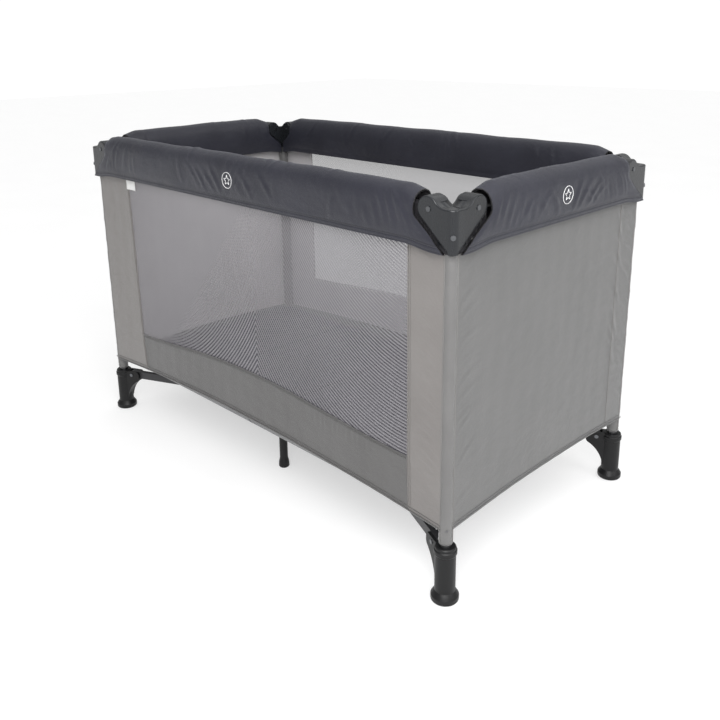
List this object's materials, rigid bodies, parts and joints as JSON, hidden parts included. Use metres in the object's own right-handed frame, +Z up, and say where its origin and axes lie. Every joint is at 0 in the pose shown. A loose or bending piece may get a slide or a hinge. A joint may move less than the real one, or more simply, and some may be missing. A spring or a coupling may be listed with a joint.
{
  "type": "folding travel cot playpen",
  "caption": "Folding rectangular travel cot with padded top rails, mesh long sides, cloth ends, moulded corners and feet, a central base hub and a panelled mattress.",
  "frame": {"origin": "on the floor under the centre of the object", "axes": "+X along the long side, +Y to the back, +Z up"},
  "size_m": [1.248, 0.674, 0.782],
  "materials": {
    "frame_steel": "satin",
    "corner_plastic": "satin gloss",
    "foot_plastic": "moulded satin",
    "button_plastic": "moulded",
    "rivet_steel": "polished",
    "webbing": "woven",
    "wall_cloth": "satin polyester",
    "cover_cloth": "satin polyester",
    "mattress_cloth": "woven polyester"
  },
  "bodies": {
    "leg_front_left": {"leg_tube_front_left": "frame_steel", "bracket_outer_front_left": "corner_plastic", "bracket_inner_front_left": "corner_plastic", "leg_rivets_front_left": "rivet_steel", "foot_front_left": "foot_plastic", "wall_front": "wall_cloth"},
    "strut_front_left": {"strut_front_left": "frame_steel"},
    "long_rail_front_left": {"long_rail_front_left": "frame_steel", "cover_front": "cover_cloth"},
    "end_rail_front_left": {"end_rail_front_left": "frame_steel"},
    "leg_front_right": {"leg_tube_front_right": "frame_steel", "bracket_outer_front_right": "corner_plastic", "bracket_inner_front_right": "corner_plastic", "leg_rivets_front_right": "rivet_steel", "foot_front_right": "foot_plastic", "wall_right": "wall_cloth"},
    "strut_front_right": {"strut_front_right": "frame_steel"},
    "long_rail_front_right": {"long_rail_front_right": "frame_steel"},
    "end_rail_front_right": {"end_rail_front_right": "frame_steel", "cover_right": "cover_cloth"},
    "leg_rear_left": {"leg_tube_rear_left": "frame_steel", "bracket_outer_rear_left": "corner_plastic", "bracket_inner_rear_left": "corner_plastic", "leg_rivets_rear_left": "rivet_steel", "foot_rear_left": "foot_plastic", "wall_left": "wall_cloth"},
    "strut_rear_left": {"strut_rear_left": "frame_steel"},
    "long_rail_rear_left": {"long_rail_rear_left": "frame_steel", "cover_rear": "cover_cloth"},
    "end_rail_rear_left": {"end_rail_rear_left": "frame_steel", "cover_left": "cover_cloth"},
    "leg_rear_right": {"leg_tube_rear_right": "frame_steel", "bracket_outer_rear_right": "corner_plastic", "bracket_inner_rear_right": "corner_plastic", "leg_rivets_rear_right": "rivet_steel", "foot_rear_right": "foot_plastic", "wall_rear": "wall_cloth"},
    "strut_rear_right": {"strut_rear_right": "frame_steel"},
    "long_rail_rear_right": {"long_rail_rear_right": "frame_steel"},
    "end_rail_rear_right": {"end_rail_rear_right": "frame_steel"},
    "hub": {"hub": "foot_plastic", "hub_pins": "rivet_steel", "pull_strap": "webbing", "floor_cloth": "wall_cloth"},
    "lock_front": {"lock_front": "foot_plastic"},
    "lock_button_front": {"lock_button_front": "button_plastic"},
    "lock_rear": {"lock_rear": "foot_plastic"},
    "lock_button_rear": {"lock_button_rear": "button_plastic"},
    "lock_left": {"lock_left": "foot_plastic"},
    "lock_button_left": {"lock_button_left": "button_plastic"},
    "lock_right": {"lock_right": "foot_plastic"},
    "lock_button_right": {"lock_button_right": "button_plastic"},
    "centre_arm_front": {"centre_arm_front": "frame_steel"},
    "centre_foot_front": {"centre_foot_front": "foot_plastic"},
    "centre_arm_rear": {"centre_arm_rear": "frame_steel"},
    "centre_foot_rear": {"centre_foot_rear": "foot_plastic"},
    "mattress_1": {"mattress_panel_1": "mattress_cloth"},
    "mattress_2": {"mattress_panel_2": "mattress_cloth"},
    "mattress_3": {"mattress_panel_3": "mattress_cloth"},
    "mattress_4": {"mattress_panel_4": "mattress_cloth"}
  },
  "joints": [
    {"name": "frame_fold", "type": "hinge", "parent": "leg_rear_left", "child": "strut_rear_left", "pos_m": [-0.56408, 0.29387, 0.104], "axis": [-0.4157, -0.9095, 0], "range_deg": [0, 87], "deforming": ["wall_front", "wall_rear", "wall_left", "wall_right", "floor_cloth", "cover_front", "cover_rear", "cover_left", "cover_right", "mattress_panel_1", "mattress_panel_2", "mattress_panel_3", "mattress_panel_4"]},
    {"name": "hub_level", "type": "hinge", "parent": "strut_rear_left", "child": "hub", "pos_m": [-0.01708, 0.04387, 0.104], "axis": [-0.4157, -0.9095, 0], "range_deg": [-87, 0]},
    {"name": "strut_fold_front_left", "type": "hinge", "parent": "hub", "child": "strut_front_left", "pos_m": [-0.01708, -0.04387, 0.104], "axis": [0.4157, -0.9095, 0], "range_deg": [0, 87]},
    {"name": "leg_level_front_left", "type": "hinge", "parent": "strut_front_left", "child": "leg_front_left", "pos_m": [-0.56408, -0.29387, 0.104], "axis": [0.4157, -0.9095, 0], "range_deg": [-87, 0]},
    {"name": "strut_fold_front_right", "type": "hinge", "parent": "hub", "child": "strut_front_right", "pos_m": [0.01708, -0.04387, 0.104], "axis": [0.4157, 0.9095, 0], "range_deg": [0, 87]},
    {"name": "leg_level_front_right", "type": "hinge", "parent": "strut_front_right", "child": "leg_front_right", "pos_m": [0.56408, -0.29387, 0.104], "axis": [0.4157, 0.9095, 0], "range_deg": [-87, 0]},
    {"name": "strut_fold_rear_right", "type": "hinge", "parent": "hub", "child": "strut_rear_right", "pos_m": [0.01708, 0.04387, 0.104], "axis": [-0.4157, 0.9095, 0], "range_deg": [0, 87]},
    {"name": "leg_level_rear_right", "type": "hinge", "parent": "strut_rear_right", "child": "leg_rear_right", "pos_m": [0.56408, 0.29387, 0.104], "axis": [-0.4157, 0.9095, 0], "range_deg": [-87, 0]},
    {"name": "long_rail_fold_front_left", "type": "hinge", "parent": "leg_front_left", "child": "long_rail_front_left", "pos_m": [-0.563, -0.308, 0.748], "axis": [0, 1, 0], "range_deg": [0, 87]},
    {"name": "end_rail_fold_front_left", "type": "hinge", "parent": "leg_front_left", "child": "end_rail_front_left", "pos_m": [-0.595, -0.266, 0.748], "axis": [-1, 0, 0], "range_deg": [0, 87]},
    {"name": "long_rail_fold_front_right", "type": "hinge", "parent": "leg_front_right", "child": "long_rail_front_right", "pos_m": [0.563, -0.308, 0.748], "axis": [0, -1, 0], "range_deg": [0, 87]},
    {"name": "end_rail_fold_front_right", "type": "hinge", "parent": "leg_front_right", "child": "end_rail_front_right", "pos_m": [0.595, -0.266, 0.748], "axis": [-1, 0, 0], "range_deg": [0, 87]},
    {"name": "long_rail_fold_rear_left", "type": "hinge", "parent": "leg_rear_left", "child": "long_rail_rear_left", "pos_m": [-0.563, 0.308, 0.748], "axis": [0, 1, 0], "range_deg": [0, 87]},
    {"name": "end_rail_fold_rear_left", "type": "hinge", "parent": "leg_rear_left", "child": "end_rail_rear_left", "pos_m": [-0.595, 0.266, 0.748], "axis": [1, 0, 0], "range_deg": [0, 87]},
    {"name": "long_rail_fold_rear_right", "type": "hinge", "parent": "leg_rear_right", "child": "long_rail_rear_right", "pos_m": [0.563, 0.308, 0.748], "axis": [0, -1, 0], "range_deg": [0, 87]},
    {"name": "end_rail_fold_rear_right", "type": "hinge", "parent": "leg_rear_right", "child": "end_rail_rear_right", "pos_m": [0.595, 0.266, 0.748], "axis": [1, 0, 0], "range_deg": [0, 87]},
    {"name": "lock_level_front", "type": "hinge", "parent": "long_rail_front_left", "child": "lock_front", "pos_m": [-0.016, -0.308, 0.748], "axis": [0, 1, 0], "range_deg": [-87, 0]},
    {"name": "lock_press_front", "type": "slide", "parent": "lock_front", "child": "lock_button_front", "axis": [0, 0, 1], "range_m": [0, 0.004], "stiffness_N_per_m": 400, "springref_m": -0.004},
    {"name": "lock_level_rear", "type": "hinge", "parent": "long_rail_rear_left", "child": "lock_rear", "pos_m": [-0.016, 0.308, 0.748], "axis": [0, 1, 0], "range_deg": [-87, 0]},
    {"name": "lock_press_rear", "type": "slide", "parent": "lock_rear", "child": "lock_button_rear", "axis": [0, 0, 1], "range_m": [0, 0.004], "stiffness_N_per_m": 400, "springref_m": -0.004},
    {"name": "lock_level_left", "type": "hinge", "parent": "end_rail_rear_left", "child": "lock_left", "pos_m": [-0.595, 0.016, 0.748], "axis": [1, 0, 0], "range_deg": [-87, 0]},
    {"name": "lock_press_left", "type": "slide", "parent": "lock_left", "child": "lock_button_left", "axis": [0, 0, 1], "range_m": [0, 0.004], "stiffness_N_per_m": 400, "springref_m": -0.004},
    {"name": "lock_level_right", "type": "hinge", "parent": "end_rail_front_right", "child": "lock_right", "pos_m": [0.595, -0.016, 0.748], "axis": [-1, 0, 0], "range_deg": [-87, 0]},
    {"name": "lock_press_right", "type": "slide", "parent": "lock_right", "child": "lock_button_right", "axis": [0, 0, 1], "range_m": [0, 0.004], "stiffness_N_per_m": 400, "springref_m": -0.004},
    {"name": "arm_fold_front", "type": "hinge", "parent": "hub", "child": "centre_arm_front", "pos_m": [0, -0.062, 0.104], "axis": [1, 0, 0], "range_deg": [0, 87]},
    {"name": "centre_foot_level_front", "type": "hinge", "parent": "centre_arm_front", "child": "centre_foot_front", "pos_m": [0, -0.209, 0.104], "axis": [1, 0, 0], "range_deg": [-87, 0]},
    {"name": "arm_fold_rear", "type": "hinge", "parent": "hub", "child": "centre_arm_rear", "pos_m": [0, 0.062, 0.104], "axis": [-1, 0, 0], "range_deg": [0, 87]},
    {"name": "centre_foot_level_rear", "type": "hinge", "parent": "centre_arm_rear", "child": "centre_foot_rear", "pos_m": [0, 0.209, 0.104], "axis": [-1, 0, 0], "range_deg": [-87, 0]},
    {"name": "mattress_wrap", "type": "hinge", "parent": "leg_rear_left", "child": "mattress_2", "pos_m": [-0.40543, -0.02251, 0.42794], "axis": [0.5774, 0.5774, 0.5774], "range_deg": [0, 120]},
    {"name": "mattress_crease_1_2", "type": "hinge", "parent": "mattress_2", "child": "mattress_1", "pos_m": [-0.292, 0, 0.169], "axis": [0, 1, 0], "range_deg": [0, 90]},
    {"name": "mattress_crease_2_3", "type": "hinge", "parent": "mattress_2", "child": "mattress_3", "pos_m": [0, 0, 0.169], "axis": [0, -1, 0], "range_deg": [0, 90]},
    {"name": "mattress_crease_3_4", "type": "hinge", "parent": "mattress_3", "child": "mattress_4", "pos_m": [0.292, 0, 0.169], "axis": [0, -1, 0], "range_deg": [0, 90]}
  ],
  "couplings": [
    {"joint": "hub_level", "follows": "frame_fold", "ratio": -1},
    {"joint": "strut_fold_front_left", "follows": "frame_fold", "ratio": 1},
    {"joint": "leg_level_front_left", "follows": "frame_fold", "ratio": -1},
    {"joint": "strut_fold_front_right", "follows": "frame_fold", "ratio": 1},
    {"joint": "leg_level_front_right", "follows": "frame_fold", "ratio": -1},
    {"joint": "strut_fold_rear_right", "follows": "frame_fold", "ratio": 1},
    {"joint": "leg_level_rear_right", "follows": "frame_fold", "ratio": -1},
    {"joint": "long_rail_fold_front_left", "follows": "frame_fold", "ratio": 1},
    {"joint": "end_rail_fold_front_left", "follows": "frame_fold", "ratio": 1},
    {"joint": "long_rail_fold_front_right", "follows": "frame_fold", "ratio": 1},
    {"joint": "end_rail_fold_front_right", "follows": "frame_fold", "ratio": 1},
    {"joint": "long_rail_fold_rear_left", "follows": "frame_fold", "ratio": 1},
    {"joint": "end_rail_fold_rear_left", "follows": "frame_fold", "ratio": 1},
    {"joint": "long_rail_fold_rear_right", "follows": "frame_fold", "ratio": 1},
    {"joint": "end_rail_fold_rear_right", "follows": "frame_fold", "ratio": 1},
    {"joint": "lock_level_front", "follows": "frame_fold", "ratio": -1},
    {"joint": "lock_level_rear", "follows": "frame_fold", "ratio": -1},
    {"joint": "lock_level_left", "follows": "frame_fold", "ratio": -1},
    {"joint": "lock_level_right", "follows": "frame_fold", "ratio": -1},
    {"joint": "arm_fold_front", "follows": "frame_fold", "ratio": 1},
    {"joint": "centre_foot_level_front", "follows": "frame_fold", "ratio": -1},
    {"joint": "arm_fold_rear", "follows": "frame_fold", "ratio": 1},
    {"joint": "centre_foot_level_rear", "follows": "frame_fold", "ratio": -1},
    {"joint": "mattress_wrap", "follows": "frame_fold", "ratio": 1.3793},
    {"joint": "mattress_crease_1_2", "follows": "frame_fold", "ratio": 1.0345},
    {"joint": "mattress_crease_2_3", "follows": "frame_fold", "ratio": 1.0345},
    {"joint": "mattress_crease_3_4", "follows": "frame_fold", "ratio": 1.0345}
  ]
}
